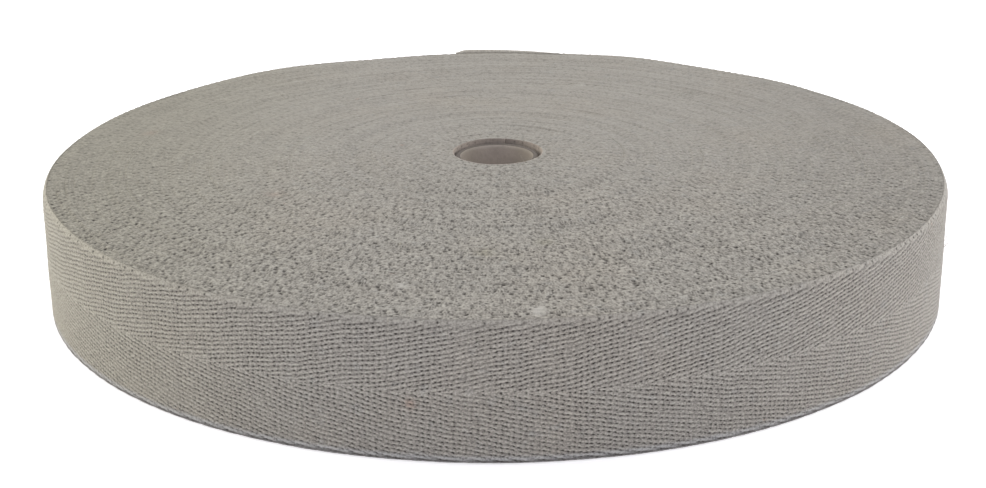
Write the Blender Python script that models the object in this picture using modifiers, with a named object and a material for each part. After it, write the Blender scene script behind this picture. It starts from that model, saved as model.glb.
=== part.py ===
# A roll of linen webbing, lying flat on its side: about 95 turns of 38 mm tape wound on a
# cardboard tube, with the tape's loose end at the back. Metres, +Z up.
# The roll stands on the plane z = 0, and the origin is under the middle of its outline.

import math

import bmesh
import bpy
from mathutils import Vector

# Driving dimensions
WEBBING_WIDTH = 0.038  # 1 1/2 in tape, the height of the roll
WEBBING_THICKNESS = 0.0012
TURN_PITCH = 0.00132  # from one turn to the next
ROLL_RADIUS = 0.1385  # mean outer radius
HOLE_RADIUS = 0.0133
HOLE_SHIFT = 0.0009  # the hole lies this far to +X of the outer turns' centre
CLEARANCE = 0.0003  # between pieces that touch

# How the wound turns have slid and settled
CROWN_LIFT = 0.0018  # the middle turns stand this far above the outer ones
CROWN_REACH = 0.75  # share of the radius where the crown runs out
RING_LIFT = 0.0003  # groups of turns stand a little proud or low
RING_PERIODS = (0.0262, 0.0157)
RIM_SOFTNESS = 0.0009  # rounding of the outer turn's two edges
RIM_BAND = 0.80  # share of the radius from which the edge waves
STEP_BAND = 0.60  # share of the radius from which the outline's spiral is felt

# The loose end, seen from above with the front at -90 degrees
END_ROOT_DEG = 79.0  # where the last turn leaves the roll
END_SPAN = 0.041  # from there to the cut edge
END_STANDOFF = 0.0011  # how far the cut edge stands away from the turn under it
END_RAISE = 0.0006  # how far the cut edge has slid up

# The tube
CORE_WALL = 0.0016
CORE_LENGTH = 0.0384
CORE_SOFTNESS = 0.0003

# Facets
ROLL_COLUMNS = 96
TOP_ROWS = 24
FOOT_ROWS = 6
WALL_ROWS = 3
CORE_COLUMNS = 48
END_COLUMNS = 14
END_ROWS = 2
STEP_WIDTH = 0.0002  # the last turn's end face leans by this much

# The outer edge's waves: where, how wide, how high
RIM_WAVES = [
    {"at_deg": 127, "spread_deg": 11, "lift": 0.0007},
    {"at_deg": 109, "spread_deg": 8, "lift": -0.0003},
    {"at_deg": 68, "spread_deg": 6, "lift": 0.0004},
    {"at_deg": 52, "spread_deg": 8, "lift": -0.0004},
    {"at_deg": 32, "spread_deg": 6, "lift": -0.0003},
    {"at_deg": 4, "spread_deg": 10, "lift": 0.0002},
    {"at_deg": -38, "spread_deg": 13, "lift": -0.0002},
    {"at_deg": -75, "spread_deg": 15, "lift": 0.0003},
    {"at_deg": -118, "spread_deg": 12, "lift": -0.0003},
    {"at_deg": -152, "spread_deg": 12, "lift": 0.0003},
    {"at_deg": 172, "spread_deg": 10, "lift": -0.0003},
]

LINEN = {"name": "linen", "color": (0.34, 0.315, 0.28, 1.0), "roughness": 0.9}
BOARD = {"name": "core_board", "color": (0.41, 0.33, 0.26, 1.0), "roughness": 0.85}


def clear_scene():
    for old in list(bpy.data.objects):
        bpy.data.objects.remove(old, do_unlink=True)


def make_material(look):
    material = bpy.data.materials.new(look["name"])
    material.use_nodes = True
    shader = material.node_tree.nodes["Principled BSDF"]
    shader.inputs["Base Color"].default_value = look["color"]
    shader.inputs["Roughness"].default_value = look["roughness"]
    shader.inputs["Metallic"].default_value = 0.0
    return material


def smooth(value):
    """0 below 0, 1 above 1, and an even S between."""
    value = min(max(value, 0.0), 1.0)
    return value * value * (3.0 - 2.0 * value)


def degrees_between(a, b):
    return (a - b + 180.0) % 360.0 - 180.0


def crown_lift(radius):
    share = min(radius / (ROLL_RADIUS * CROWN_REACH), 1.0)
    return CROWN_LIFT * 0.5 * (1.0 + math.cos(math.pi * share))


def ring_lift(radius):
    coarse, fine = (math.sin(math.tau * radius / period) for period in RING_PERIODS)
    return RING_LIFT * (0.6 * coarse + 0.4 * fine)


def rim_lift(angle):
    waves = (
        wave["lift"] * math.exp(-((degrees_between(angle, wave["at_deg"]) / wave["spread_deg"]) ** 2))
        for wave in RIM_WAVES
    )
    return sum(waves)


def last_turn_radius(turned):
    """Outer radius at this share of the last turn, counted from under the loose end's root."""
    return ROLL_RADIUS + TURN_PITCH * (turned - 0.5)


def centre_at(radius):
    """The turns' centre drifts from the hole's to the outer turn's."""
    share = (radius - HOLE_RADIUS) / (ROLL_RADIUS - HOLE_RADIUS)
    return HOLE_SHIFT * (1.0 - min(max(share, 0.0), 1.0))


def point_at(radius, angle, height):
    return Vector((
        centre_at(radius) + radius * math.cos(math.radians(angle)),
        radius * math.sin(math.radians(angle)),
        height,
    ))


def roll_profile():
    """The wound tape's section, as a loop of (radius, height): over the top, down, back and up."""
    soft = RIM_SOFTNESS
    chamfer = soft * (1.0 - math.sqrt(0.5))
    over_top = [
        (HOLE_RADIUS + soft + (ROLL_RADIUS - HOLE_RADIUS - 2.0 * soft) * row / TOP_ROWS, WEBBING_WIDTH)
        for row in range(TOP_ROWS + 1)
    ]
    outer_top = [(ROLL_RADIUS - chamfer, WEBBING_WIDTH - chamfer)]
    wall_drop = WEBBING_WIDTH - 2.0 * soft
    down = [(ROLL_RADIUS, WEBBING_WIDTH - soft - wall_drop * row / WALL_ROWS) for row in range(WALL_ROWS + 1)]
    outer_foot = [(ROLL_RADIUS - chamfer, chamfer)]
    foot_span = ROLL_RADIUS - HOLE_RADIUS - soft
    back = [(ROLL_RADIUS - soft - foot_span * row / FOOT_ROWS, 0.0) for row in range(FOOT_ROWS + 1)]
    up = [(HOLE_RADIUS, WEBBING_WIDTH - soft)]
    return over_top + outer_top + down + outer_foot + back + up


def turned_mesh(name, profile, columns):
    """The profile's loop turned about Z by a Screw modifier, as a plain mesh."""
    mesh = bpy.data.meshes.new(name)
    loop = [(index, (index + 1) % len(profile)) for index in range(len(profile))]
    mesh.from_pydata([(radius, 0.0, height) for radius, height in profile], loop, [])
    guide = bpy.data.objects.new(name + "_profile", mesh)
    bpy.context.scene.collection.objects.link(guide)
    screw = guide.modifiers.new("turn", "SCREW")
    screw.angle = math.tau
    screw.steps = screw.render_steps = columns
    screw.use_merge_vertices = True
    screw.merge_threshold = 0.0001
    turned = bpy.data.meshes.new_from_object(
        guide.evaluated_get(bpy.context.evaluated_depsgraph_get())
    )
    bpy.data.objects.remove(guide, do_unlink=True)
    turned.name = name
    return turned


def settle_turns(mesh):
    """Moves the turned mesh's points to the spiral outline, the crown and the uneven rings and edge."""
    step_share = STEP_WIDTH / (math.tau * ROLL_RADIUS)
    for vertex in mesh.vertices:
        radius = math.hypot(vertex.co.x, vertex.co.y)
        column = round(math.atan2(vertex.co.y, vertex.co.x) / math.tau * ROLL_COLUMNS) % ROLL_COLUMNS
        even = column / ROLL_COLUMNS
        drawn = step_share + column / (ROLL_COLUMNS - 1) * (1.0 - step_share)
        felt = smooth((radius / ROLL_RADIUS - STEP_BAND) / (1.0 - STEP_BAND))
        turned = even + (drawn - even) * felt
        angle = END_ROOT_DEG + 360.0 * turned
        spiral_radius = radius + (last_turn_radius(turned) - ROLL_RADIUS) * felt
        lift = crown_lift(radius)
        if vertex.co.z > 0.5 * WEBBING_WIDTH:
            edge_share = smooth((radius / ROLL_RADIUS - RIM_BAND) / (1.0 - RIM_BAND))
            lift += ring_lift(radius) + rim_lift(angle) * edge_share
        vertex.co = point_at(spiral_radius, angle, vertex.co.z + lift)


def build_roll(linen):
    mesh = turned_mesh("webbing_roll", roll_profile(), ROLL_COLUMNS)
    settle_turns(mesh)
    mesh.materials.append(linen)
    return bpy.data.objects.new("webbing_roll", mesh)


def end_point(share, rise):
    """A point on the loose end's inner face, from its root to its cut edge and from foot to top."""
    span = END_SPAN * share + CLEARANCE
    angle = END_ROOT_DEG + math.degrees(span / ROLL_RADIUS)
    under = last_turn_radius(span / (math.tau * ROLL_RADIUS))
    radius = under + CLEARANCE + END_STANDOFF * share * share
    raised = END_RAISE * share * share
    height = raised + rise * (WEBBING_WIDTH + rim_lift(angle))
    return point_at(radius, angle, height)


def build_loose_end(linen):
    """The last stretch of tape, which has come away from the turn under it."""
    build = bmesh.new()
    grid = [
        [build.verts.new(end_point(column / END_COLUMNS, row / END_ROWS)) for row in range(END_ROWS + 1)]
        for column in range(END_COLUMNS + 1)
    ]
    for here, there in zip(grid, grid[1:]):
        for row in range(END_ROWS):
            build.faces.new((here[row], there[row], there[row + 1], here[row + 1]))
    mesh = bpy.data.meshes.new("webbing_end")
    build.to_mesh(mesh)
    build.free()
    mesh.materials.append(linen)
    loose_end = bpy.data.objects.new("webbing_end", mesh)
    skin = loose_end.modifiers.new("thickness", "SOLIDIFY")
    skin.thickness = WEBBING_THICKNESS
    skin.offset = 1.0
    return loose_end


def build_core(board):
    """The cardboard tube in the hole, which stands on the same surface as the roll."""
    outer = HOLE_RADIUS - CLEARANCE
    inner = outer - CORE_WALL
    soft = CORE_SOFTNESS
    profile = [
        (inner + soft, CORE_LENGTH), (outer - soft, CORE_LENGTH),
        (outer, CORE_LENGTH - soft), (outer, soft),
        (outer - soft, 0.0), (inner + soft, 0.0),
        (inner, soft), (inner, CORE_LENGTH - soft),
    ]
    mesh = turned_mesh("core", profile, CORE_COLUMNS)
    mesh.materials.append(board)
    core = bpy.data.objects.new("core", mesh)
    core.location.x = HOLE_SHIFT
    return core


def outline_middle(pieces):
    """The middle of all pieces' outline, seen from above."""
    bpy.context.view_layer.update()
    graph = bpy.context.evaluated_depsgraph_get()
    points = [
        piece.matrix_world @ vertex.co
        for piece in pieces
        for vertex in piece.evaluated_get(graph).data.vertices
    ]
    xs = [point.x for point in points]
    ys = [point.y for point in points]
    return (min(xs) + max(xs)) / 2.0, (min(ys) + max(ys)) / 2.0


def main():
    clear_scene()
    linen = make_material(LINEN)
    board = make_material(BOARD)
    collection = bpy.data.collections.new("roll_of_linen_webbing")
    bpy.context.scene.collection.children.link(collection)

    roll = build_roll(linen)
    loose_end = build_loose_end(linen)
    core = build_core(board)
    pieces = [roll, loose_end, core]
    base = bpy.data.objects.new("roll_base", None)
    collection.objects.link(base)
    for piece in pieces:
        collection.objects.link(piece)
        piece.parent = base
        piece.data.shade_smooth()
        piece.data.set_sharp_from_angle(angle=math.radians(35.0))

    middle_x, middle_y = outline_middle(pieces)
    base.location = (-middle_x, -middle_y, 0.0)


main()
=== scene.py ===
# Roll of linen webbing: about 95 turns of herringbone tape on a cardboard tube, lying flat.
# The turns, the last turn's woven face and the loose end follow the tape's own spiral.
import math

import bmesh
import bpy
from mathutils import Matrix, Vector


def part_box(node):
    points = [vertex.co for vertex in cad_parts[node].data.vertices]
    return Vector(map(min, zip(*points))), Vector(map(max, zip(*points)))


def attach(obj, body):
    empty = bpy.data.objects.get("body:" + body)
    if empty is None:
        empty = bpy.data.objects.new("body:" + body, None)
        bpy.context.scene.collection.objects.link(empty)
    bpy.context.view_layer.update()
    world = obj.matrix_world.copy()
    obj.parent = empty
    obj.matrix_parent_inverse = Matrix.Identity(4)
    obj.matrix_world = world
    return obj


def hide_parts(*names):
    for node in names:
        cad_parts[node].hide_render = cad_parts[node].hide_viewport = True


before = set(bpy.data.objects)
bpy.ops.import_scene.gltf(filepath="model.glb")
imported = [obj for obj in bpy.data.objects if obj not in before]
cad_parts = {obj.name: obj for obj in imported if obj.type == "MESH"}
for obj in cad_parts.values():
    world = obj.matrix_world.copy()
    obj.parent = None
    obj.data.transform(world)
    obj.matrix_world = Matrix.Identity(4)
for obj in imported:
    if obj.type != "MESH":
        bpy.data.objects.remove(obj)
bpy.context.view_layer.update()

tape = {
    "width": 0.038,
    "thickness": 0.0012,
    "turns": 95,
    "lastPicks": 575,        # weft threads in the last turn
    "ends": 125,             # warp threads across the tape
    "holeShift": 0.0009,     # the hole's centre from the outer turns' centre, to +X
    "clearance": 0.0003,
    "rootDegrees": 79.0,     # where the last turn ends and the loose end begins
}
coreLow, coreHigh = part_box("core")
rollLow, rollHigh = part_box("webbing_roll")
holeCentre = (coreLow + coreHigh) / 2
coreRadius = (coreHigh.x - coreLow.x) / 2
holeRadius = coreRadius + tape["clearance"]
rollRadius = (rollHigh.x - rollLow.x) / 2
turnPitch = (rollRadius - holeRadius) / (tape["turns"] + 0.5)
endSpacing = tape["width"] / tape["ends"]

# how the turns have slid: crown in the middle, rings of turns, waves along the rim
settling = {
    "crown": 0.0018,
    "crownReach": 0.75,
    "ring": 0.0003,
    "ringPeriods": (0.0262, 0.0157),
    "rimBand": 0.80,
    "openTo": (-0.115, 0.06),  # the pits are open at the front rim and pressed flatter from there
    "closing": 0.75,
    "waves": [  # degrees, spread in degrees, lift
        (127, 11, 0.0007), (109, 8, -0.0003), (68, 6, 0.0004), (52, 8, -0.0004),
        (32, 6, -0.0003), (4, 10, 0.0002), (-38, 13, -0.0002), (-75, 15, 0.0003),
        (-118, 12, -0.0003), (-152, 12, 0.0003), (172, 10, -0.0003),
    ],
}


class Signal:  # a node's output, usable in plain arithmetic
    def __init__(self, bench, socket):
        self.bench = bench
        self.socket = socket

    def __add__(self, other):
        return self.bench.maths("ADD", self, other)

    def __radd__(self, other):
        return self.bench.maths("ADD", other, self)

    def __sub__(self, other):
        return self.bench.maths("SUBTRACT", self, other)

    def __rsub__(self, other):
        return self.bench.maths("SUBTRACT", other, self)

    def __mul__(self, other):
        return self.bench.maths("MULTIPLY", self, other)

    def __rmul__(self, other):
        return self.bench.maths("MULTIPLY", other, self)

    def __truediv__(self, other):
        return self.bench.maths("DIVIDE", self, other)

    def __pow__(self, other):
        return self.bench.maths("POWER", self, other)

    def __mod__(self, other):
        return self.bench.maths("FLOORED_MODULO", self, other)

    def __neg__(self):
        return self.bench.maths("MULTIPLY", self, -1.0)

    def __abs__(self):
        return self.bench.maths("ABSOLUTE", self)


class Bench:  # builds the nodes of one tree
    def __init__(self, tree):
        self.tree = tree

    def node(self, kind, settings=None, sockets=None):
        made = self.tree.nodes.new(kind)
        for name, value in (settings or {}).items():
            if name == "points":
                line = made.mapping.curves[0]
                while len(line.points) < len(value):
                    line.points.new(0.5, 0.5)
                for point, (across, up) in zip(line.points, value):
                    point.location = (across, up)
                made.mapping.update()
            else:
                setattr(made, name, value)
        for name, value in (sockets or {}).items():
            for single in value if isinstance(value, list) else [value]:
                if isinstance(single, Signal):
                    self.tree.links.new(single.socket, made.inputs[name])
                else:
                    made.inputs[name].default_value = single
        return made

    def out(self, kind, settings=None, sockets=None, output=0):
        return Signal(self, self.node(kind, settings, sockets).outputs[output])

    def maths(self, operation, *values):
        return self.out("ShaderNodeMath", {"operation": operation}, dict(enumerate(values)))

    def vector(self, x, y, z):
        return self.out("ShaderNodeCombineXYZ", None, {0: x, 1: y, 2: z})

    def shifted(self, vector, distance):
        sockets = {0: vector, 1: (distance, distance * 0.7, distance * 1.3)}
        return self.out("ShaderNodeVectorMath", {"operation": "ADD"}, sockets)

    def lit(self, color, strength):
        return self.blend(1.0, color, (strength, strength, strength, 1.0), "MULTIPLY")

    def split(self, vector):
        made = self.node("ShaderNodeSeparateXYZ", None, {0: vector})
        return [Signal(self, socket) for socket in made.outputs]

    def sine(self, value):
        return self.maths("SINE", value)

    def cosine(self, value):
        return self.maths("COSINE", value)

    def bell(self, value, width):  # 1 at nought, falling off to both sides
        share = value / width
        return self.maths("EXPONENT", -(share * share))

    def whole(self, value):
        return self.maths("FLOOR", value)

    def chance(self, vector):  # 0 to 1, the same for the same numbers
        return self.out("ShaderNodeTexWhiteNoise", {"noise_dimensions": "3D"}, {"Vector": vector})

    def clamp(self, value):
        return self.maths("MINIMUM", self.maths("MAXIMUM", value, 0.0), 1.0)

    def smooth(self, value, low, high):
        share = self.clamp((value - low) / (high - low))
        return share * share * (3.0 - 2.0 * share)

    def noise(self, vector, scale=1.0, detail=1.0, roughness=0.5):  # about -1 to 1
        sockets = {"Vector": vector, "Scale": scale, "Detail": detail, "Roughness": roughness}
        return self.out("ShaderNodeTexNoise", None, sockets) * 3.2 - 1.6

    def noiseAlong(self, place, scale, shift=0.0, detail=1.0):  # the same, along one line
        sockets = {"W": place * scale + shift, "Scale": 1.0, "Detail": detail}
        return self.out("ShaderNodeTexNoise", {"noise_dimensions": "1D"}, sockets) * 3.2 - 1.6

    def blend(self, share, first, second, mode="MIX"):  # colours
        settings = {"data_type": "RGBA", "blend_type": mode, "clamp_factor": True}
        return self.out("ShaderNodeMix", settings, {0: share, 6: first, 7: second}, output=2)


# Where the tape runs

def centreX(bench, radius):
    share = bench.clamp((radius - holeRadius) / (rollRadius - holeRadius))
    return holeCentre.x - share * tape["holeShift"]


def crownLift(bench, radius):
    share = bench.clamp(radius / (rollRadius * settling["crownReach"]))
    return (bench.cosine(share * math.pi) + 1.0) * (0.5 * settling["crown"])


def ringLift(bench, radius):
    coarse, fine = (bench.sine(radius * (math.tau / period)) for period in settling["ringPeriods"])
    return (coarse * 0.6 + fine * 0.4) * settling["ring"]


def rimLiftAt(degrees):
    total = 0.0
    for at, spread, lift in settling["waves"]:
        away = ((degrees + 180.0 - at) % 360.0 - 180.0) / spread
        total += lift * math.exp(-away * away)
    return total


rimRange = 0.002
rimPoints = [(step / 90, rimLiftAt(4 * step - 180) / rimRange + 0.5) for step in range(91)]


def rimLift(bench, angle):
    around = (angle * (180.0 / math.pi) + 180.0) % 360.0 / 360.0
    curve = bench.out("ShaderNodeFloatCurve", {"points": rimPoints}, {"Value": around})
    return curve * rimRange - rimRange / 2


def openAt(bench, y):
    return 1.0 - bench.smooth(y, *settling["openTo"]) * settling["closing"]


def placeAt(bench, radius, angle, height):
    x = centreX(bench, radius) + radius * bench.cosine(angle)
    y = radius * bench.sine(angle) + holeCentre.y
    return bench.vector(x, y, height)


def woundLength(turnPlace):  # metres of tape wound before this turn and share of a turn
    return (turnPlace * holeRadius + turnPlace * turnPlace * (0.5 * turnPitch)) * math.tau


lastTurn = tape["turns"] - 1.0
lastStart = woundLength(lastTurn)
pickSpacing = (woundLength(lastTurn + 1.0) - lastStart) / tape["lastPicks"]


def lengthAt(turnPlace):  # the same, counted from where the last turn begins
    return woundLength(turnPlace) - lastStart


# Herringbone: warp threads float over two picks and under two, one pick further at each thread,
# so the floats stand as slanting ribs that turn back at mid-width. A small hole opens at each pick
# in the groove between two ribs.

weave = {
    "threadsPerRib": 4.0,
    "alongWobble": 0.15,   # of a pick
    "acrossWobble": 0.85,  # of a thread
    "middleWander": 1.3,   # of a thread
    "softTurn": 0.4,       # rounds the point where the ribs turn back
    "brokenTurn": 1.6,     # picks between the ribs above that point and those below
    "calmTurn": 2.4,       # threads to each side of it where the grooves close up
    "slant": (-0.30, 0.62),  # how a hole's tail lies to its rib, from less to more steep
    "scatter": 0.42,       # how far a hole strays, of a pick and of a rib
    "edgeThreads": (9.0, 11.0),  # closer threads at the foot and at the top
}


def herringbone(bench, along, threadPlace):
    place = bench.vector(along, threadPlace * endSpacing, 0.0)
    picks = along / pickSpacing + bench.noise(place, 260.0) * weave["alongWobble"]
    bent = threadPlace + bench.noise(place, 130.0) * weave["acrossWobble"]
    middle = tape["ends"] / 2 + bench.noiseAlong(along, 45.0, 7.0) * weave["middleWander"]
    offMiddle = bent - middle
    turning = bench.maths("SQRT", offMiddle * offMiddle + weave["softTurn"])
    below = bench.smooth(offMiddle, 0.6, -0.6) * weave["brokenTurn"]
    ribs = (picks - turning + below) / weave["threadsPerRib"]
    pickNumber, ribNumber = bench.whole(picks), bench.whole(ribs)
    chance = bench.chance(bench.vector(pickNumber, ribNumber, 1.0))
    stray = bench.chance(bench.vector(pickNumber, ribNumber, 6.0)) - 0.5
    other = bench.chance(bench.vector(pickNumber, ribNumber, 15.0))
    a = picks - pickNumber - 0.5 + stray * weave["scatter"]
    b = ribs - ribNumber - 0.5 + (chance - 0.5) * (weave["scatter"] * 0.5)
    column = bench.chance(bench.vector(pickNumber, 3.0, 12.0))
    low, high = weave["slant"]
    slanted = b + a * (other * other * other * (high - low) + low)
    tail = bench.bell(slanted, 0.11) * bench.maths("MAXIMUM", 1.0 - ((a + 0.10) / 0.50) ** 2.0, 0.0)
    hole = bench.bell(b + a * 0.12, 0.18) * bench.bell(a, 0.15)
    groove = (bench.cosine((b + 0.05) * math.tau) * 0.5 + 0.5) ** 1.5
    groove = groove * (1.0 - bench.bell(offMiddle, weave["calmTurn"]) * 0.7)
    raised = bench.bell(abs(b - a * 0.10) - 0.5, 0.20) * bench.bell(a + stray * 0.5, 0.42)
    fromFoot = (threadPlace + 1.0) / weave["edgeThreads"][0]
    fromTop = (tape["ends"] + 1.0 - threadPlace) / weave["edgeThreads"][1]
    inner = bench.clamp(fromFoot) * bench.clamp(fromTop)
    return {"tail": tail, "hole": hole, "groove": groove, "chance": chance, "stray": stray,
            "column": column, "bent": bent, "inner": inner, "float": raised}


# The selvedge, which is all that shows on top: the weft turns back every second pick in a loop,
# so small yarns lie across the edge, with a pit between one loop and the next

selvedge = {
    "picksPerLoop": 2.0,
    "yarnsPerLoop": 4.0,
    "lean": 0.34,        # of a loop, from one side of the edge to the other, either way
    "pitWidth": 0.125,   # of a loop
    "pitReach": 0.40,    # of a turn
    "loopWidth": 0.30,
    "curl": (0.0018, 0.0008),  # from the tape's edge
}


def selvedgeLoops(bench, along, share):
    loops = along / (pickSpacing * selvedge["picksPerLoop"]) + bench.noiseAlong(along, 70.0, 3.0) * 0.3
    number = bench.whole(loops)
    chance = bench.chance(bench.vector(number, 5.0, 2.0))
    other = bench.chance(bench.vector(number, 9.0, 4.0))
    away = loops - number - 0.5 + (share - 0.5) * (other - 0.5) * selvedge["lean"]
    pit = bench.bell(away, selvedge["pitWidth"]) * bench.smooth(chance, 0.05, 0.95)
    pit = pit * bench.bell(share - 0.5, selvedge["pitReach"])
    loop = (1.0 - bench.bell(away, selvedge["loopWidth"])) * (0.4 + 0.6 * other)
    return loop, pit, loops


def curledOver(bench, across):  # the last threads, which the selvedge's loops cover
    low, high = selvedge["curl"]
    return bench.smooth(across, tape["width"] - low, tape["width"] - high)


def selvedgeYarns(bench, loops, share, turn):
    yarns = loops * selvedge["yarnsPerLoop"]
    number = bench.whole(yarns)
    away = yarns - number - 0.5
    chance = bench.chance(bench.vector(number, turn, 3.0))
    other = bench.chance(bench.vector(number, turn, 8.0))
    across = share - 0.5 + (other - 0.5) * 0.5
    gap = bench.bell(away, 0.30) * bench.bell(across, 0.36) * chance * chance
    return {"gap": gap, "tone": other, "round": 1.0 - away * away * 4.0}


def placeOnTop(bench, place):  # from above: turn, share of it, length of tape, nearest line between turns
    x, y = bench.split(place)[:2]
    x, y = x - holeCentre.x, y - holeCentre.y
    radius = bench.maths("SQRT", x * x + y * y)
    shift = bench.clamp((radius - holeRadius) / (rollRadius - holeRadius)) * tape["holeShift"]
    x = x + shift
    radius = bench.maths("SQRT", x * x + y * y)
    turned = (bench.maths("ARCTAN2", y, x) / math.tau - tape["rootDegrees"] / 360.0) % 1.0
    inTurns = (radius - holeRadius) / turnPitch - turned
    turn = bench.whole(inTurns)
    return turn, inTurns - turn, lengthAt(turn + turned), bench.whole(inTurns + 0.5)


# Materials

linen = {
    "color": (0.341, 0.326, 0.298, 1.0),
    "warm": (0.365, 0.333, 0.288, 1.0),
    "cool": (0.325, 0.323, 0.308, 1.0),
    # painted warm light: the linen's colour towards the left
    "leftLightTint": (0.345, 0.330, 0.276, 1.0),
    # painted cool shade at the foot
    "atFoot": (0.325, 0.330, 0.335, 1.0),
    # painted shade: the near-black that shaded grooves, holes, pits and the lines between turns mix
    # towards
    "pit": (0.048, 0.042, 0.038, 1.0),
    "nub": (0.50, 0.485, 0.455, 1.0),
    "inHole": (0.58, 0.49, 0.43, 1.0),
    "dull": (0.25, 0.225, 0.19, 1.0),
    "pinkFleck": (0.36, 0.25, 0.20, 1.0),
    "oliveFleck": (0.30, 0.285, 0.20, 1.0),
    "bump": (0.8, 0.00020),  # strength, depth
    "surface": {"Roughness": 0.92, "Sheen Weight": 0.12, "Sheen Roughness": 0.5,
                "Specular IOR Level": 0.15},
}

# light and focus of the photograph, by place on the roll
shading = {
    "flank": (0.07, 0.58),      # calmer weave and painted light, lighter at the far left and right: reach, share
    "aside": (0.06, 0.13),      # painted shade: the top gets darker towards the sides
    "asideDark": 0.10,
    "backDark": 0.19,           # painted shade, darker where its pits close, towards the back
    "leftLightTint": (-0.03, -0.13),    # painted warm light, yellower to the left
    # painted cool shade at the foot: from, to
    "footTint": (0.0012, 0.0026),
    "footLight": (0.00135, 0.00036),  # painted light band and painted shadow line along the foot: height, spread
    "footDark": (0.00055, 0.00028),
    "rimPit": (0.0007, 0.00030),      # from the upper edge: distance, spread
}


# soft nubs and woody bits left in the yarn, and dark pits in painted shade: place, radius, strength
marks = {
    "nub": [((0.0104, -0.1314, 0.0385), 0.0017, 0.85), ((0.0104, -0.1340, 0.0385), 0.0017, 0.85),
            ((-0.0238, -0.1146, 0.0384), 0.0020, 0.75),
            ((0.0312, 0.0871, 0.0386), 0.0015, 0.6), ((-0.0718, 0.0942, 0.0385), 0.0013, 0.6)],
    "pinkFleck": [((-0.0214, -0.1376, 0.0157), 0.0013, 0.6), ((-0.0651, -0.0389, 0.0385), 0.0026, 0.3),
                  ((-0.1132, 0.0269, 0.0385), 0.0026, 0.3), ((0.0521, 0.1283, 0.0201), 0.0013, 0.5)],
    "oliveFleck": [((-0.0028, -0.0903, 0.0385), 0.0026, 0.4), ((0.0134, -0.0825, 0.0385), 0.0024, 0.35)],
    "dull": [((0.1061, -0.0893, 0.0165), 0.0011, 0.5)],
    "pit": [((0.0002, -0.1145, 0.0381), 0.0009, 0.7), ((0.0018, -0.1144, 0.0381), 0.0009, 0.8),
            ((0.0034, -0.1145, 0.0381), 0.0009, 0.7)],
}


def newMaterial(name):
    material = bpy.data.materials.new(name)
    material.use_nodes = True
    material.node_tree.nodes.clear()
    bench = Bench(material.node_tree)
    return material, bench, bench.out("ShaderNodeTexCoord", output=3)


def finishMaterial(bench, look, color, height):
    strength, depth = look["bump"]
    sockets = {"Strength": strength, "Distance": depth, "Height": height}
    bump = bench.out("ShaderNodeBump", None, sockets)
    sockets = {"Base Color": color, "Normal": bump, **look["surface"]}
    shader = bench.out("ShaderNodeBsdfPrincipled", None, sockets)
    bench.node("ShaderNodeOutputMaterial", None, {"Surface": shader})


def fromHoleCentre(bench, x, y):
    away = bench.vector(x - holeCentre.x, y - holeCentre.y, 0.0)
    return bench.out("ShaderNodeVectorMath", {"operation": "LENGTH"}, {0: away}, output=1)


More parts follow.
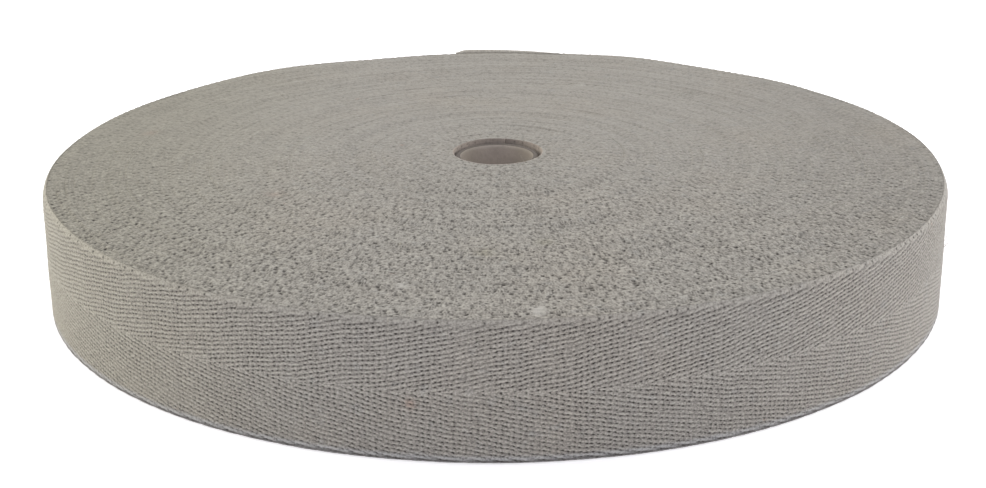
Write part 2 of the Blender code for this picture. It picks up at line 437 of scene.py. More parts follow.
def makeLinen():
    material, bench, place = newMaterial("linenWebbing")
    run = bench.node("ShaderNodeAttribute", {"attribute_name": "tapeRun"})
    along, across, edge = bench.split(Signal(bench, run.outputs["Vector"]))
    cover = bench.out("ShaderNodeAttribute", {"attribute_name": "cover"}, output=2)
    x, y = bench.split(place)[:2]

    cloth = herringbone(bench, along, across / endSpacing)
    patches = bench.noise(bench.vector(along * 70.0, across * 90.0, 2.0), 1.0, 1.0)
    openness = 0.18 + 0.72 * cloth["chance"] * cloth["chance"] + 0.50 * cloth["column"] + 0.45 * patches
    openness = bench.clamp(openness * (0.30 + 0.70 * cloth["inner"]))
    threads = bench.cosine(cloth["bent"] * math.tau)
    slub = bench.noise(bench.vector(along * 170.0, cloth["bent"] * 0.55, 3.0), 1.0, 2.0)
    hairs = bench.noise(bench.vector(along * 1450.0, across * 2100.0, 8.0), 1.0, 1.0)
    specks = bench.noise(place, 2300.0, 1.0)
    groove = cloth["groove"] * (0.46 - 0.16 * cloth["inner"]) * (1.0 + 0.5 * slub)
    # painted shade in the weave's grooves, tails and holes, beside the shade their relief casts
    dark = bench.clamp(groove + cloth["tail"] * (0.14 + 0.40 * openness) + cloth["hole"] * openness * 1.0)
    faceTone = slub * 0.10 + hairs * 0.54 + specks * 0.34 + cloth["float"] * (0.10 + 0.56 * cloth["stray"])
    flank = 1.0 - bench.bell(y, shading["flank"][0]) * shading["flank"][1]
    curled = curledOver(bench, across)
    rimPit = selvedgeLoops(bench, along, 0.5 + 0.0 * along)[1]
    down, spread = shading["rimPit"]
    rimPit = rimPit * bench.bell(across - tape["width"] + down, spread)
    dark = dark * flank * (0.94 - curled * 0.70) + rimPit * 0.95
    opening = openAt(bench, y)
    # the selvedge's loops hide the grooves near the top edge; painted light makes that band lighter too,
    # more so at the front
    faceTone = faceTone * flank + curled * (0.02 + 0.18 * opening)
    # painted light band and painted contact shadow along the foot
    up, spread = shading["footLight"]
    footLight = bench.bell(across - up, spread) * (0.36 + hairs * 0.2)
    up, spread = shading["footDark"]
    footDark = bench.bell(across - up, spread) * (0.60 + slub * 0.3)
    # painted light: the face lighter towards its far left and right, where flank is low
    faceShade = 1.05 - flank * 0.085 - dark + faceTone * (1.0 - dark) + footLight
    faceShade = faceShade * (1.0 - bench.clamp(footDark))
    faceHeight = 0.8 - cloth["groove"] * 0.40 - (cloth["tail"] * 0.3 + cloth["hole"] * 0.6) * openness
    faceHeight = faceHeight + threads * 0.06 + slub * 0.10 + hairs * 0.22 + specks * 0.14
    faceHeight = faceHeight * flank * flank

    # painted shade: mask for the top's darker sides
    toSides = bench.smooth(abs(x), *shading["aside"])
    turn, share, edgeAlong, seam = placeOnTop(bench, place)
    loop, pit, loopPlace = selvedgeLoops(bench, edgeAlong, share)
    yarns = selvedgeYarns(bench, loopPlace, share, turn)
    fromLine = bench.maths("MINIMUM", share, 1.0 - share)
    slack = bench.noise(bench.vector(edgeAlong * 150.0, seam * 3.1, 4.0), 1.0, 1.0)
    line = bench.bell(fromLine, 0.17) * (0.10 + 0.75 * bench.smooth(slack, 0.55, 1.05))
    # painted shade in the selvedge's pits, yarn gaps and the lines between turns
    edgeDark = bench.clamp((pit * 0.95 + yarns["gap"] * 0.90 + line) * opening)
    turnTone = bench.noise(bench.vector(edgeAlong * 170.0, turn * 3.7, 5.0), 1.0, 1.0)
    fuzz = bench.noise(bench.vector(edgeAlong * 1450.0, (turn + share) * 1.5, 2.0), 1.0, 1.0)
    streaks = bench.noise(bench.vector(edgeAlong * 420.0, (turn + share) * 2.1, 6.0), 1.0, 1.0)
    edgeTone = (yarns["tone"] - 0.5) * 0.26 + (loop - 0.5) * 0.14
    edgeTone = edgeTone + fuzz * 0.58 + streaks * 0.18 + specks * 0.16
    edgeTone = edgeTone * opening + turnTone * 0.10
    # painted shade: the top darker towards the back and towards both sides
    edgeShade = 1.045 - (1.0 - opening) * shading["backDark"] - toSides * shading["asideDark"]
    edgeShade = edgeShade - edgeDark + edgeTone * (1.0 - edgeDark)
    edgeHeight = 0.8 - (pit * 0.9 + yarns["gap"] * 0.8 + line * 0.6) * opening + loop * 0.25
    edgeHeight = edgeHeight + (yarns["round"] * 0.16 + yarns["tone"] * 0.3 + fuzz * 0.30) * opening

    # cover: painted light and shade stored on the mesh, lighter hole wall and loose end, darker ends, foot
    # and pits
    shade = (faceShade + (edgeShade - faceShade) * edge) * cover
    height = faceHeight + (edgeHeight - faceHeight) * edge

    tone = bench.noise(place, 26.0, 2.0)
    color = bench.blend(bench.smooth(tone, -0.3, 0.9) * 0.4, linen["color"], linen["warm"])
    color = bench.blend(bench.smooth(bench.noise(place, 300.0, 1.0), 0.2, 1.1) * 0.6, color, linen["cool"])
    # painted warm light: a yellow tint towards the left, as from the warm left lamp
    color = bench.blend(bench.smooth(x, *shading["leftLightTint"]) * 0.9, color, linen["leftLightTint"])
    # painted cool shade over the foot of the woven face
    atFoot = (1.0 - bench.smooth(across, *shading["footTint"])) * (1.0 - edge)
    color = bench.blend(atFoot * 0.7, color, linen["atFoot"])
    pinkFlecks = bench.smooth(bench.noise(place, 240.0, 1.0), 0.92, 1.15)
    color = bench.blend(pinkFlecks * 0.55, color, linen["pinkFleck"])
    oliveFlecks = bench.smooth(bench.noise(bench.shifted(place, 3.7), 210.0, 1.0), 0.90, 1.15)
    color = bench.blend(oliveFlecks * 0.5, color, linen["oliveFleck"])
    fromHole = fromHoleCentre(bench, x, y)
    inHole = bench.smooth(fromHole, holeRadius + 0.0022, holeRadius + 0.0015) * (1.0 - edge)
    color = bench.blend(bench.clamp(inHole), color, linen["inHole"])
    ragged = 1.0 + hairs * 0.3 + specks * 0.2
    nubs = 0.0
    for kind, spots in marks.items():
        for centre, radius, strength in spots:
            sockets = {0: place, 1: centre}
            away = bench.out("ShaderNodeVectorMath", {"operation": "DISTANCE"}, sockets, output=1)
            spot = bench.bell(away * ragged, radius) * strength
            color = bench.blend(spot, color, linen[kind])
            nubs = spot + nubs if kind == "nub" else nubs
    shade = shade + (1.0 - shade) * nubs
    # all the painted light and shade above goes into the colour here
    color = bench.blend(bench.clamp(shade * 0.72), linen["pit"], bench.lit(color, 1.37))
    finishMaterial(bench, linen, color, height)
    return material


fibre = {
    "color": (0.44, 0.42, 0.385, 1.0),
    "dark": (0.33, 0.31, 0.275, 1.0),
    "bump": (0.3, 0.00005),
    "surface": {"Roughness": 0.85, "Specular IOR Level": 0.2},
}


def makeFibreMaterial():
    material, bench, place = newMaterial("linenFibre")
    along = bench.noise(place, 900.0, 2.0)
    color = bench.blend(bench.smooth(along, -0.8, 0.8), fibre["dark"], fibre["color"])
    finishMaterial(bench, fibre, color, along)
    return material


board = {
    "color": (0.60, 0.54, 0.49, 1.0),
    "dark": (0.50, 0.45, 0.405, 1.0),
    # painted shadow on the tube's ends
    "rim": (0.150, 0.131, 0.117, 1.0),
    # painted shade for the tube's left and right
    "aside": (0.36, 0.325, 0.285, 1.0),
    "bump": (0.4, 0.0001),
    "surface": {"Roughness": 0.8, "Specular IOR Level": 0.3},
}


def makeBoard():
    material, bench, place = newMaterial("coreBoard")
    fibres = bench.noise(place, 900.0, 3.0, 0.6)
    clouds = bench.noise(place, 120.0, 2.0)
    color = bench.blend(bench.smooth(fibres + clouds * 0.6, -1.0, 1.2), board["dark"], board["color"])
    x, y = bench.split(place)[:2]
    # painted shade: the tube darker to the left and right of its middle, where the side lamps light it
    aside = bench.smooth(abs(x - holeCentre.x), 0.002, 0.010)
    color = bench.blend(aside * 0.8, color, board["aside"])
    fromHole = fromHoleCentre(bench, x, y)
    bore = coreRadius - tube["wall"]
    # painted shadow: the tube's top end and outer wall dark, as the shaded gap under the linen
    color = bench.blend(bench.smooth(fromHole, bore + 0.00002, bore + 0.00012), color, board["rim"])
    finishMaterial(bench, board, color, fibres)
    return material


# Geometry Nodes helpers

def newTree(name, inputs):
    tree = bpy.data.node_groups.new(name, "GeometryNodeTree")
    tree.interface.new_socket("Geometry", in_out="OUTPUT", socket_type="NodeSocketGeometry")
    for label, kind in inputs.items():
        tree.interface.new_socket(label, in_out="INPUT", socket_type=kind)
    bench = Bench(tree)
    entry = bench.node("NodeGroupInput")
    return bench, {label: Signal(bench, entry.outputs[label]) for label in inputs}


def gridOf(bench, columns, rows):  # a sheet of points, with the number of each one's column and row
    sockets = {"Size X": 1.0, "Size Y": 1.0, "Vertices X": columns + 1.0, "Vertices Y": rows + 1.0}
    sheet = bench.out("GeometryNodeMeshGrid", None, sockets)
    x, y = bench.split(bench.out("GeometryNodeInputPosition"))[:2]
    column = bench.maths("ROUND", (x + 0.5) * columns)
    row = bench.maths("ROUND", (y + 0.5) * rows)
    return sheet, column, row


def placed(bench, sheet, position, run, cover, flipped=False, smooth=True):
    stored = bench.out("GeometryNodeStoreNamedAttribute", {"data_type": "FLOAT_VECTOR", "domain": "POINT"},
                       {"Geometry": sheet, "Name": "tapeRun", "Value": run})
    stored = bench.out("GeometryNodeStoreNamedAttribute", {"data_type": "FLOAT", "domain": "POINT"},
                       {"Geometry": stored, "Name": "cover", "Value": cover})
    moved = bench.out("GeometryNodeSetPosition", None, {"Geometry": stored, "Position": position})
    moved = bench.out("GeometryNodeSetShadeSmooth", None, {"Geometry": moved, "Shade Smooth": smooth})
    return bench.out("GeometryNodeFlipFaces", None, {"Mesh": moved}) if flipped else moved


def finishTree(bench, parts, materialSocket):
    joined = bench.out("GeometryNodeJoinGeometry", None, {"Geometry": parts})
    welded = bench.out("GeometryNodeMergeByDistance", None, {"Geometry": joined, "Distance": 0.000004})
    real = bench.out("GeometryNodeRealizeInstances", None, {"Geometry": welded})
    dressed = bench.out("GeometryNodeSetMaterial", None, {"Geometry": real, "Material": materialSocket})
    bench.node("NodeGroupOutput", None, {"Geometry": dressed})
    return bench.tree


def grow(name, tree, values):  # runs a tree and keeps the result as a plain, closed mesh
    holder = bpy.data.objects.new(name, bpy.data.meshes.new(name + "Seed"))
    bpy.context.scene.collection.objects.link(holder)
    modifier = holder.modifiers.new("grow", "NODES")
    modifier.node_group = tree
    for item in tree.interface.items_tree:
        if item.in_out == "INPUT":
            modifier[item.identifier] = values[item.name]
    mesh = bpy.data.meshes.new_from_object(holder.evaluated_get(bpy.context.evaluated_depsgraph_get()))
    mesh.name = name
    holder.modifiers.remove(modifier)
    holder.data = mesh
    closeMesh(mesh)
    print(name, len(mesh.polygons), "faces")
    return holder


def closeMesh(mesh):
    work = bmesh.new()
    work.from_mesh(mesh)
    border = [edge for edge in work.edges if edge.is_boundary]
    if border:
        bmesh.ops.holes_fill(work, edges=border, sides=0)
    bmesh.ops.recalc_face_normals(work, faces=work.faces)
    work.to_mesh(mesh)
    work.free()


# The wound turns, in rings of 19 turns, each one closed body

turnsLook = {
    "rowsPerTurn": 4,
    "valley": (0.00006, 0.00034),  # between two turns: usual depth, and how much more in places
    "pit": 0.00060,
    "loopLift": 0.00026,
    "turnLift": 0.00022,
    "groupLift": 0.00018,
    "rough": 0.00009,
    "sideJitter": 0.00006,
    "footValley": 0.00045,
    "footRough": 0.00008,
    "footMerge": (4.0, 2.0),  # stations and rows of the foot that weld into one
    # painted light on the turns' walls, the hole's wall lighter; painted shade on the step's ends
    "wallLight": 1.12,
    "endShade": 0.7,
    "rings": [(0, 19.5, 240), (19.5, 38.5, 400), (38.5, 57.5, 640), (57.5, 76.5, 880), (76.5, 94, 1100)],
}


def makeTurnsTree():
    look = turnsLook
    names = {"First Turn": "NodeSocketFloat", "Rows": "NodeSocketInt", "Stations": "NodeSocketInt",
             "Material": "NodeSocketMaterial"}
    bench, given = newTree("woundTurns", names)
    stations, firstTurn = given["Stations"] + 0.0, given["First Turn"]
    rows = given["Rows"] + 0.0

    def spot(column, row):
        turned = column / stations
        inTurns = row / look["rowsPerTurn"] + firstTurn
        turn = bench.whole(inTurns + 0.01)
        share = inTurns - turn
        radius = (inTurns + turned) * turnPitch + holeRadius
        angle = turned * math.tau + math.radians(tape["rootDegrees"])
        along = lengthAt(turn + turned)
        bulge = bench.maths("SQRT", bench.maths("MAXIMUM", bench.sine(share * math.pi), 0.0))
        return radius, angle, along, share, bulge

    def topPoint(column, row):
        radius, angle, along, share, bulge = spot(column, row)
        loop, pit = selvedgeLoops(bench, along, share)[:2]
        ground = placeAt(bench, radius, angle, 0.0)
        slack = bench.smooth(bench.noise(ground, 75.0), 0.15, 1.0)
        opening = openAt(bench, bench.split(ground)[1])
        pit = pit * bulge * opening
        lift = bench.noiseAlong(along, 22.0, 11.0, 2.0) * look["turnLift"]
        lift = lift + bench.noiseAlong(radius, 210.0, 5.0) * look["groupLift"]
        bumps = loop * bulge * look["loopLift"] + bench.noise(ground, 950.0) * look["rough"]
        lift = lift + bumps * (opening * 0.7 + 0.3)
        valley = (slack * look["valley"][1] + look["valley"][0]) * (opening * 0.6 + 0.4)
        sunk = valley * (1.0 - bulge) + pit * look["pit"]
        rimShare = bench.smooth(radius / rollRadius, settling["rimBand"], 1.0)
        base = crownLift(bench, radius) + ringLift(bench, radius) + rimLift(bench, angle) * rimShare
        height = base + lift - sunk + tape["width"]
        jitter = bench.noiseAlong(along, 300.0, 41.0) * look["sideJitter"] * bulge
        # painted shade: pits and the valleys between turns a little darker
        cover = 1.0 - pit * 0.12 - (1.0 - bulge) * 0.03
        run = bench.vector(along, share * turnPitch + tape["width"], 1.0)
        return placeAt(bench, radius + jitter, angle, height), run, cover

    def footPoint(column, row):
        columns, rowsMerged = look["footMerge"]
        column = bench.maths("ROUND", column / columns) * columns
        row = bench.maths("ROUND", row / rowsMerged) * rowsMerged
        radius, angle, along, share, bulge = spot(column, row)
        lift = (bench.noiseAlong(along, 30.0, 71.0) + 1.0) * look["footRough"]
        height = crownLift(bench, radius) + (1.0 - bulge) * look["footValley"] + lift * bulge
        run = bench.vector(along, 0.0 - share * turnPitch, 1.0)
        return placeAt(bench, radius, angle, height), run, bulge

    top, column, row = gridOf(bench, stations, rows)
    parts = [placed(bench, top, *topPoint(column, row))]
    foot, column, row = gridOf(bench, stations, rows)
    parts.append(placed(bench, foot, *footPoint(column, row), flipped=True))

    def wall(columns, place, tone):  # joins the top's border to the foot's; tone is painted light on the walls and painted shade on the ends
        sheet, step, level = gridOf(bench, columns, 1.0 + 0.0 * stations)
        column, row = place(step)
        high, run, cover = topPoint(column, row)
        low = footPoint(column, row)[0]
        settings = {"data_type": "VECTOR", "factor_mode": "UNIFORM"}
        between = bench.out("ShaderNodeMix", settings, {0: level, 4: low, 5: high}, output=1)
        run = bench.vector(bench.split(run)[0], level * tape["width"], 0.0)
        return placed(bench, sheet, between, run, 0.0 * cover + tone, smooth=False)

    parts.append(wall(stations, lambda step: (step, 0.0 * step), look["wallLight"]))
    parts.append(wall(stations, lambda step: (step, rows + 0.0 * step), look["wallLight"]))
    edgeRows = float(look["rowsPerTurn"]) + 0.0 * stations
    parts.append(wall(edgeRows, lambda step: (0.0 * step, step), look["endShade"]))
    parts.append(wall(edgeRows, lambda step: (0.0 * step + stations, rows - step), look["endShade"]))
    return finishTree(bench, parts, given["Material"])


def makeTurns(material):
    tree = makeTurnsTree()
    made = []
    for number, (first, last, stations) in enumerate(turnsLook["rings"], 1):
        rows = round((last - first) * turnsLook["rowsPerTurn"])
        values = {"First Turn": float(first), "Rows": rows, "Stations": stations, "Material": material}
        made.append(grow(f"woundTurns{number}", tree, values))
    return made


# The last turn with its woven face, and the loose end that goes on from it

stripLook = {
    "ribDepth": 0.00026,
    "edgeRows": 5,
    "topRounding": (0.0030, 0.00105),  # how far down it reaches, how far in it leads
    "footRounding": (0.0008, 0.00012),
    "edgeLift": 0.00010,
    "footEdgeLift": 0.00044,
    "loops": 0.5,              # of the loops' lift on the turns
    "faceWave": 0.00022,
    "cornerReach": 0.0022,
    "innerFace": (0.00030, 0.00040),  # its foot above the floor, and how much lower it is than the tape
}


def makeStripTree():
    look = stripLook
    names = {"From Turn": "NodeSocketFloat", "To Turn": "NodeSocketFloat", "Stations": "NodeSocketInt",
             "Extra Radius": "NodeSocketFloat", "Standoff": "NodeSocketFloat", "Raise": "NodeSocketFloat",
             "Inner Gap": "NodeSocketFloat", "Worn Corner": "NodeSocketFloat",
             "End Rounding": "NodeSocketFloat", "Edge Light": "NodeSocketFloat",
             "Material": "NodeSocketMaterial"}
    bench, given = newTree("tapeStrip", names)
    stations = given["Stations"] + 0.0
    ends = float(tape["ends"] - 1) + 0.0 * stations

    def path(column):
        share = column / stations
        turnPlace = given["From Turn"] + share * (given["To Turn"] - given["From Turn"])
        inner = turnPlace * turnPitch + holeRadius + given["Inner Gap"]
        radius = (turnPlace + 1.0) * turnPitch + holeRadius
        radius = radius + bench.smooth(share, 0.0, 0.2) * given["Extra Radius"]
        radius = radius + share * share * given["Standoff"]
        angle = turnPlace * math.tau + math.radians(tape["rootDegrees"])
        along = lengthAt(turnPlace)
        toEnd = (1.0 - share) * (given["To Turn"] - given["From Turn"]) * (math.tau * rollRadius)
        corner = bench.bell(toEnd, look["cornerReach"]) * given["Worn Corner"]
        raised = share * (2.0 - share) * given["Raise"] - corner
        rounding = look["topRounding"][1] + 0.0 * share
        rounding = rounding + (given["End Rounding"] - rounding) * bench.smooth(share, 0.0, 0.4)
        return inner, angle, along, radius, raised, rounding

    def facePoint(column, row):  # row is the warp thread's number
        angle, along, radius, raised, rounding = path(column)[1:]
        up = (row + 0.5) * endSpacing
        cloth = herringbone(bench, along, row + 0.5)
        relief = 0.25 - cloth["groove"] * 0.45 - cloth["tail"] * 0.3
        relief = relief - cloth["hole"] * (0.3 + 0.5 * cloth["chance"])
        wave = bench.noise(bench.vector(along, up, 9.0), 34.0)
        relief = relief * look["ribDepth"] + wave * look["faceWave"]
        reach = look["topRounding"][0]
        inset = bench.clamp((up - (tape["width"] - reach)) / reach) ** 2.4 * rounding
        relief = relief * (1.0 - curledOver(bench, up) * 0.6)
        reach, depth = look["footRounding"]
        inset = inset + bench.clamp((reach - up) / reach) ** 2.0 * depth
        height = up + raised * bench.smooth(up, 0.2 * tape["width"], tape["width"])
        height = height + rimLift(bench, angle) * bench.smooth(up, 0.3 * tape["width"], tape["width"])
        run = bench.vector(along, up, 0.0)
        return radius + relief - inset, angle, height, run, bench.clamp(row + 1.0)

    def backPoint(column, high):  # the hidden inner face's upper or lower line
        inner, angle, along = path(column)[:3]
        foot, lower = look["innerFace"]
        height = high * (tape["width"] - lower + rimLift(bench, angle)) + foot
        return inner, angle, height, along

    def edgePoint(column, row, high):  # over the selvedge, from the face's last thread to the back
        share = row / float(look["edgeRows"])
        faceRadius, angle, faceHeight = facePoint(column, high * ends)[:3]
        backRadius, angle, backHeight, along = backPoint(column, high)
        loop, pit = selvedgeLoops(bench, along, 1.0 - share)[:2]
        bulge = bench.sine(share * math.pi)
        lift = look["footEdgeLift"] + high * (look["edgeLift"] - look["footEdgeLift"])
        looped = loop * turnsLook["loopLift"] - pit * turnsLook["pit"]
        outward = bulge * (lift + high * looped * look["loops"])
        radius = faceRadius + (backRadius - faceRadius) * share
        height = faceHeight + (backHeight - faceHeight) * share + outward * (high * 2.0 - 1.0)
        edge = bench.clamp(share * 2.5)
        run = bench.vector(along, high * tape["width"] + share * turnPitch * (high * 2.0 - 1.0), edge)
        # painted shade on the foot's edge and in pits; the given edge factor paints the loose end's edges
        # lighter
        cover = (0.84 + high * (0.16 - pit * bulge * 0.12 - 0.03 * share)) * given["Edge Light"]
        return placeAt(bench, radius, angle, height), run, cover

    face, column, row = gridOf(bench, stations, ends)
    radius, angle, height, run, cover = facePoint(column, row)
    parts = [placed(bench, face, placeAt(bench, radius, angle, height), run, cover)]
    for high in (1.0, 0.0):
        edge, column, row = gridOf(bench, stations, float(look["edgeRows"]) + 0.0 * stations)
        parts.append(placed(bench, edge, *edgePoint(column, row, high + 0.0 * column)))
    back, column, high = gridOf(bench, stations, 1.0 + 0.0 * stations)
    radius, angle, height, along = backPoint(column, high)
    run = bench.vector(along, high * tape["width"], high)
    parts.append(placed(bench, back, placeAt(bench, radius, angle, height), run, 1.0 + 0.0 * column))
    return finishTree(bench, parts, given["Material"])


flush = {
    "Extra Radius": 0.0, "Standoff": 0.0, "Raise": 0.0, "Worn Corner": 0.0, "Inner Gap": -0.00008,
    "End Rounding": stripLook["topRounding"][1], "Edge Light": 1.0,
}
# the loose end stands proud; its edges get painted light, times 1.5
proud = {
    "Extra Radius": 0.00010, "Standoff": 0.0004, "Raise": 0.00105, "Worn Corner": 0.0010,
    "Inner Gap": 0.00002, "End Rounding": 0.0004, "Edge Light": 1.50,
}
looseEnd = {"span": 0.041, "stations": 54}


def makeStrips(material):
    tree = makeStripTree()

    def strip(name, first, last, stations, form):
        values = {"From Turn": first, "To Turn": last, "Stations": stations, "Material": material}
        return grow(name, tree, {**values, **form})

    middle, first = lastTurn + 0.5, lastTurn + 1.0
    made = [strip("lastTurnLeft", lastTurn, middle, tape["lastPicks"], flush),
            strip("lastTurnRight", middle, first, tape["lastPicks"], flush)]
    endTurn = first + looseEnd["span"] / (math.tau * rollRadius)
    tail = strip("looseEnd", first, endTurn, looseEnd["stations"], proud)
    endRadius = (endTurn + 1.0) * turnPitch + holeRadius + proud["Extra Radius"] + proud["Standoff"]
    return made, tail, endTurn, endRadius


# Stray fibres on the roll, and the frayed threads that lie down along the cut end

fibres = {
    "onTop": 300,
    "onSide": 170,
    "length": (0.0020, 0.0075),
    "radius": 0.0085333333,  # of the length
    "lift": 0.22,            # of the length, at mid-fibre
    "sides": 3,
    "margin": 0.002,         # left free at the hole and at the rim
    "seed": 11,
}
fray = {
    "threads": 74,
    "length": (0.0014, 0.0040),
    "radius": 0.0653333333,
    "lift": 0.10,
    "sides": 5,
    "lean": 0.35,
    "inward": 0.0003,      # from both faces of the tape
    "shortBelow": 0.0042,  # height, more than the longest thread, so that none reaches below the foot
    "seed": 23,
}


def fibreShape(bench, look):  # one metre long, from nought along +X, bowed upwards
    line = bench.out("GeometryNodeCurveQuadraticBezier", None, {
        "Resolution": 6, "Start": (0.0, 0.0, 0.0), "Middle": (0.45, 0.30, look["lift"] * 2.0),
        "End": (1.0, -0.05, look["lift"] * 0.3),
    })
    sockets = {"Resolution": look["sides"], "Radius": look["radius"]}
    ring = bench.out("GeometryNodeCurvePrimitiveCircle", {"mode": "RADIUS"}, sockets)
    sockets = {"Curve": line, "Profile Curve": ring, "Fill Caps": True}
    return bench.out("GeometryNodeCurveToMesh", None, sockets)


def anyOf(bench, low, high, seed):  # a random number for each point
    number = bench.out("GeometryNodeInputIndex")
    sockets = {2: low, 3: high, "ID": number, "Seed": seed}
    return bench.out("FunctionNodeRandomValue", {"data_type": "FLOAT"}, sockets, output=1)


def scattered(bench, points, shape, normal, spin, length):
    upright = bench.out("FunctionNodeAlignRotationToVector", {"axis": "Z"}, {"Vector": normal})
    spun = bench.out("FunctionNodeEulerToRotation", None, {0: bench.vector(0.0, 0.0, spin)})
    turned = bench.out("FunctionNodeRotateRotation", {"rotation_space": "LOCAL"}, {0: upright, 1: spun})
    size = bench.vector(length, length, length)
    sockets = {"Points": points, "Instance": shape, "Rotation": turned, "Scale": size}
    return bench.out("GeometryNodeInstanceOnPoints", None, sockets)


def finishFibres(bench, instances, materialSocket):
    real = bench.out("GeometryNodeRealizeInstances", None, {"Geometry": instances})
    dressed = bench.out("GeometryNodeSetMaterial", None, {"Geometry": real, "Material": materialSocket})
    bench.node("NodeGroupOutput", None, {"Geometry": dressed})
    return bench.tree


def makeFibreTree():
    names = {"Count": "NodeSocketInt", "Side": "NodeSocketFloat", "Seed": "NodeSocketInt",
             "Material": "NodeSocketMaterial"}
    bench, given = newTree("strayFibres", names)
    side, seed = given["Side"], given["Seed"]
    angle = anyOf(bench, 0.0, math.tau, seed)
    inner, outer = holeRadius + fibres["margin"], rollRadius - fibres["margin"]
    spread = anyOf(bench, inner * inner, outer * outer, seed + 1)
    topRadius = bench.maths("SQRT", spread)
    radius = topRadius + (rollRadius + 0.00008 - topRadius) * side
    topHeight = crownLift(bench, radius) + ringLift(bench, radius) + tape["width"] + 0.00022
    lowest = fibres["length"][1] + 0.0004
    sideHeight = anyOf(bench, lowest, tape["width"] - fibres["margin"], seed + 2)
    height = topHeight + (sideHeight - topHeight) * side
    points = bench.out("GeometryNodePoints", None, {
        "Count": given["Count"], "Position": placeAt(bench, radius, angle, height), "Radius": 0.001,
    })
    normal = bench.vector(bench.cosine(angle) * side, bench.sine(angle) * side, 1.0 - side)
    length = anyOf(bench, *fibres["length"], seed + 3)
    spin = anyOf(bench, 0.0, math.tau, seed + 4)
    spread = scattered(bench, points, fibreShape(bench, fibres), normal, spin, length)
    return finishFibres(bench, spread, given["Material"])


def makeFrayTree():
    names = {"Count": "NodeSocketInt", "Turn": "NodeSocketFloat", "Radius": "NodeSocketFloat",
             "Seed": "NodeSocketInt", "Material": "NodeSocketMaterial"}
    bench, given = newTree("frayedThreads", names)
    angle = given["Turn"] * math.tau + math.radians(tape["rootDegrees"])
    number = bench.out("GeometryNodeInputIndex")
    height = (number + 0.5) / given["Count"] * (tape["width"] - 0.0010) + 0.0004
    inward = anyOf(bench, fray["inward"], tape["thickness"] - fray["inward"], given["Seed"])
    place = placeAt(bench, given["Radius"] - inward, angle - 0.0010 / rollRadius, height)
    sockets = {"Count": given["Count"], "Position": place, "Radius": 0.001}
    points = bench.out("GeometryNodePoints", None, sockets)
    normal = bench.vector(bench.cosine(angle), bench.sine(angle), 0.0 * angle)
    length = anyOf(bench, *fray["length"], given["Seed"] + 1)
    length = length * bench.clamp(height / fray["shortBelow"])
    spin = anyOf(bench, -fray["lean"], fray["lean"], given["Seed"] + 2) + math.pi / 2
    spread = scattered(bench, points, fibreShape(bench, fray), normal, spin, length)
    return finishFibres(bench, spread, given["Material"])


def makeFibres(material, endTurn, endRadius):
    tree = makeFibreTree()
    made = []
    kinds = (("fibresOnTop", fibres["onTop"], 0.0), ("fibresOnSide", fibres["onSide"], 1.0))
    for name, count, side in kinds:
        values = {"Count": count, "Side": side, "Seed": fibres["seed"] + round(side), "Material": material}
        made.append(grow(name, tree, values))
    values = {"Count": fray["threads"], "Turn": endTurn, "Radius": endRadius, "Seed": fray["seed"],
              "Material": material}
    return made, grow("frayedThreads", makeFrayTree(), values)


# The cardboard tube

tube = {
    "wall": 0.0016,
    "softness": 0.00025,
    "segments": 180,
    "seamLead": 0.052,
    "seamDepth": 0.00012,
    "seamWidth": 0.006,  # of a turn
    "levels": 40,
}


def makeTube(material):
    outer, inner = coreRadius, coreRadius - tube["wall"]
    soft = tube["softness"]
    height = coreHigh.z
    levels = [soft + (height - 2 * soft) * step / tube["levels"] for step in range(tube["levels"] + 1)]
    section = [(inner, level) for level in levels] + [(inner + soft, height), (outer - soft, height)]
    section += [(outer, level) for level in reversed(levels)] + [(outer - soft, 0.0), (inner + soft, 0.0)]
    work = bmesh.new()
    rings = []
    for number in range(tube["segments"]):
        angle = math.tau * number / tube["segments"]
        ring = []
        for radius, level in section:
            turn = (angle / math.tau - level / tube["seamLead"]) % 1.0
            seam = math.exp(-((min(turn, 1.0 - turn) / tube["seamWidth"]) ** 2)) * tube["seamDepth"]
            ring.append(work.verts.new((
                holeCentre.x + (radius + seam) * math.cos(angle),
                holeCentre.y + (radius + seam) * math.sin(angle), level)))
        rings.append(ring)
    for number, ring in enumerate(rings):
        other = rings[(number + 1) % len(rings)]
        for index in range(len(section)):
            after = (index + 1) % len(section)
            work.faces.new((ring[index], other[index], other[after], ring[after]))
    bmesh.ops.recalc_face_normals(work, faces=work.faces)
    mesh = bpy.data.meshes.new("coreTube")
    work.to_mesh(mesh)
    work.free()
    mesh.materials.append(material)
    mesh.shade_smooth()
    piece = bpy.data.objects.new("coreTube", mesh)
    bpy.context.scene.collection.objects.link(piece)
    print("coreTube", len(mesh.polygons), "faces")
    return piece


# Studio

studio = {
    "floorSize": 8.0,
    "floorLevel": -0.0002,
    "worldStrength": 0.52,
    "overhead": 9.5,
    "left": 11.5,
    "right": 10.0,
    "floor": {"Base Color": (0.92, 0.92, 0.92, 1.0), "Roughness": 0.9, "Specular IOR Level": 0.1,
              "Emission Color": (0.97, 0.96, 1.0, 1.0), "Emission Strength": 0.55},
    "worldColor": (0.94, 0.925, 1.0, 1.0),
    "overheadColor": (0.97, 1.0, 0.945),
    "leftColor": (1.0, 0.935, 0.765),
    "rightColor": (1.0, 0.965, 0.885),
}
view = {
    "focalPixels": 1832.5,
    "frameWidth": 986,
    "frameHeight": 488,
    "middle": (494.13, 213.44),  # the picture's optical centre, in its pixels
    "distance": 4.2,             # in outer radii
    "elevation": 18.65,
    "roll": 0.290,
}


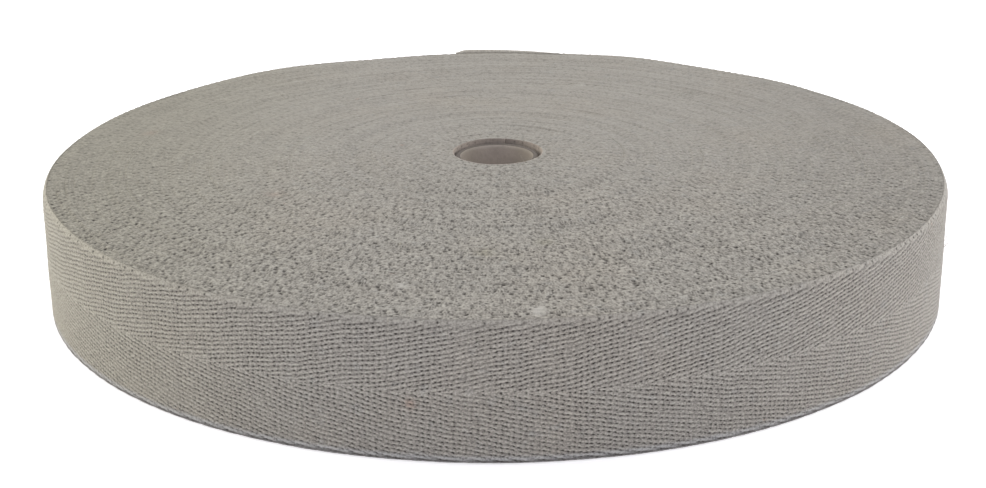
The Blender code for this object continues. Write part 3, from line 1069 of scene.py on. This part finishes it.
def makeStudio():
    floorMesh = bpy.data.meshes.new("studioFloor")
    half, level = studio["floorSize"] / 2, studio["floorLevel"]
    corners = [(-half, -half, level), (half, -half, level), (half, half, level), (-half, half, level)]
    floorMesh.from_pydata(corners, [], [(0, 1, 2, 3)])
    floor = bpy.data.objects.new("studioFloor", floorMesh)
    bpy.context.scene.collection.objects.link(floor)
    material = bpy.data.materials.new("studioWhite")
    material.use_nodes = True
    shader = material.node_tree.nodes["Principled BSDF"]
    for name, value in studio["floor"].items():
        shader.inputs[name].default_value = value
    floorMesh.materials.append(material)

    world = bpy.data.worlds.new("studioWorld")
    bpy.context.scene.world = world
    world.use_nodes = True
    background = world.node_tree.nodes["Background"]
    background.inputs["Color"].default_value = studio["worldColor"]
    background.inputs["Strength"].default_value = studio["worldStrength"]

    panels = {
        "overhead": ((0.0, 0.35, 1.3), 1.6, studio["overhead"], studio["overheadColor"]),
        "leftPanel": ((-1.3, 0.35, 0.44), 1.1, studio["left"], studio["leftColor"]),
        "rightPanel": ((1.3, 0.35, 0.44), 1.1, studio["right"], studio["rightColor"]),
    }
    for name, (place, size, power, color) in panels.items():
        light = bpy.data.lights.new(name, "AREA")
        light.shape = "SQUARE"
        light.size = size
        light.energy = power
        light.color = color
        lamp = bpy.data.objects.new(name, light)
        lamp.location = place
        aim = Vector((0.0, 0.0, 0.02)) - lamp.location
        lamp.rotation_euler = aim.to_track_quat("-Z", "Y").to_euler()
        bpy.context.scene.collection.objects.link(lamp)
    bpy.context.scene.view_settings.view_transform = "Standard"


def makeCamera():
    camera = bpy.data.cameras.new("camera")
    camera.sensor_width = 36.0
    camera.lens = view["focalPixels"] / view["frameWidth"] * camera.sensor_width
    camera.shift_x = (view["frameWidth"] / 2 - view["middle"][0]) / view["frameWidth"]
    camera.shift_y = (view["middle"][1] - view["frameHeight"] / 2) / view["frameWidth"]
    camera.clip_start = 0.02
    eye = bpy.data.objects.new("camera", camera)
    bpy.context.scene.collection.objects.link(eye)
    outerCentre = Vector((holeCentre.x - tape["holeShift"], holeCentre.y, tape["width"] / 2))
    elevation = math.radians(view["elevation"])
    back = Vector((0.0, -math.cos(elevation), math.sin(elevation)))
    eye.location = outerCentre + back * view["distance"] * rollRadius
    turn = (-back).to_track_quat("-Z", "Y").to_matrix().to_4x4()
    eye.rotation_euler = (turn @ Matrix.Rotation(math.radians(-view["roll"]), 4, "Z")).to_euler()
    bpy.context.scene.camera = eye


makeStudio()
makeCamera()
linenMaterial = makeLinen()
boardMaterial = makeBoard()
turns = makeTurns(linenMaterial)
strips, tail, endTurn, endRadius = makeStrips(linenMaterial)
loose, frayed = makeFibres(makeFibreMaterial(), endTurn, endRadius)
coreTube = makeTube(boardMaterial)

for piece in turns + strips + loose:
    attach(piece, "root")
    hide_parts("webbing_roll")
for piece in (tail, frayed):
    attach(piece, "root")
    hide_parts("webbing_end")
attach(coreTube, "root")
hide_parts("core")
